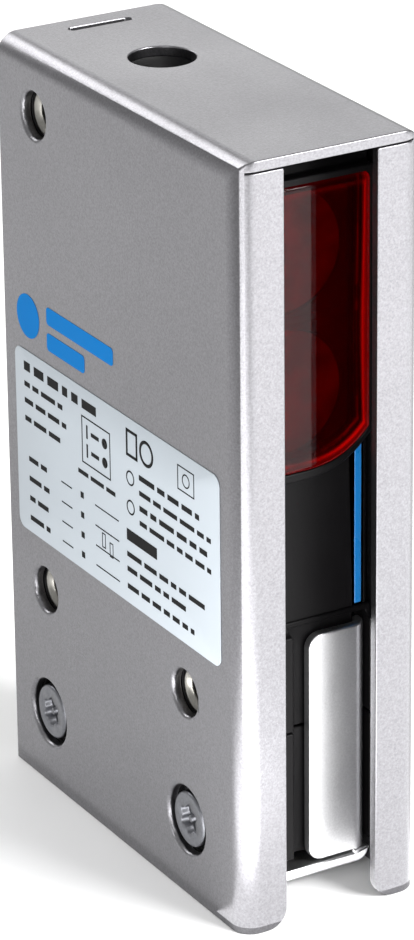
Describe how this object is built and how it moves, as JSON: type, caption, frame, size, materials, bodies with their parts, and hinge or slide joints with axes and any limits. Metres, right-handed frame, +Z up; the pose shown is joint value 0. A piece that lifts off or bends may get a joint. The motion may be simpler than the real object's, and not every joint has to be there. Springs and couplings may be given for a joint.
{
  "type": "photoelectric sensor",
  "caption": "Slim photoelectric sensor with a red front window in a bent sheet protective housing, with a retainer bracket and side mounting holes.",
  "frame": {"origin": "centre of the housing's footprint on its bottom edge", "axes": "+Z up, the light slot faces -Y, +X is the right side seen from the front"},
  "size_m": [0.0281, 0.064, 0.11],
  "materials": {
    "anodised_sheet": "satin, finely blasted",
    "bracket_sheet": "matt, finely blasted stainless sheet",
    "screw_steel": "dark, plated",
    "bright_steel": "bright",
    "insert_metal": "nickel plated",
    "black_plastic": "moulded, fine grain",
    "dark_plastic": "moulded",
    "red_window": "dark red, glossy and clear",
    "clear_plastic": "clear, moulded",
    "polariser_film": "grey film",
    "black_rubber": "matt",
    "board_green": "solder mask",
    "component_black": "moulded",
    "trimmer_blue": "moulded",
    "white_plastic": "moulded",
    "pin_gold": "gold flashed",
    "stripe_blue": "smooth blue",
    "label_film": "pale blue-grey film with black print",
    "ink_blue": "screen printed"
  },
  "bodies": {
    "sensor": {"protective_housing": "anodised_sheet", "retainer_bracket": "bracket_sheet", "retainer_screws": "screw_steel", "retainer_washers": "bright_steel", "retainer_nuts": "bright_steel", "type_label": "label_film", "printed_mark": "ink_blue", "sensor_case": "black_plastic", "rear_cover": "black_plastic", "cover_seal": "black_rubber", "cover_screws": "bright_steel", "front_window": "red_window", "window_seal": "black_rubber", "blue_stripe": "stripe_blue", "mounting_sleeves": "insert_metal", "optics_carrier": "dark_plastic", "light_baffle": "dark_plastic", "transmitter_lens": "clear_plastic", "receiver_lens": "clear_plastic", "transmitter_polariser": "polariser_film", "receiver_polariser": "polariser_film", "transmitter_led": "clear_plastic", "receiver_diode": "component_black", "optics_board": "board_green", "main_board": "board_green", "control_board": "board_green", "board_link": "pin_gold", "board_components": "component_black", "potentiometer_body": "trimmer_blue", "status_leds": "white_plastic", "light_pipe": "clear_plastic", "connection_block": "black_plastic", "block_seal": "black_rubber", "pin_carrier": "dark_plastic", "terminal_pins": "pin_gold", "gland_nut": "dark_plastic", "gland_seal": "black_rubber"},
    "adjuster": {"sensitivity_adjuster": "dark_plastic", "adjuster_ring": "black_rubber", "potentiometer_rotor": "white_plastic"}
  },
  "joints": [
    {"name": "adjuster_turn", "type": "hinge", "parent": "sensor", "child": "adjuster", "pos_m": [0, 0.0126, 0.1], "axis": [0, 0, 1], "range_deg": [-135, 135]}
  ]
}
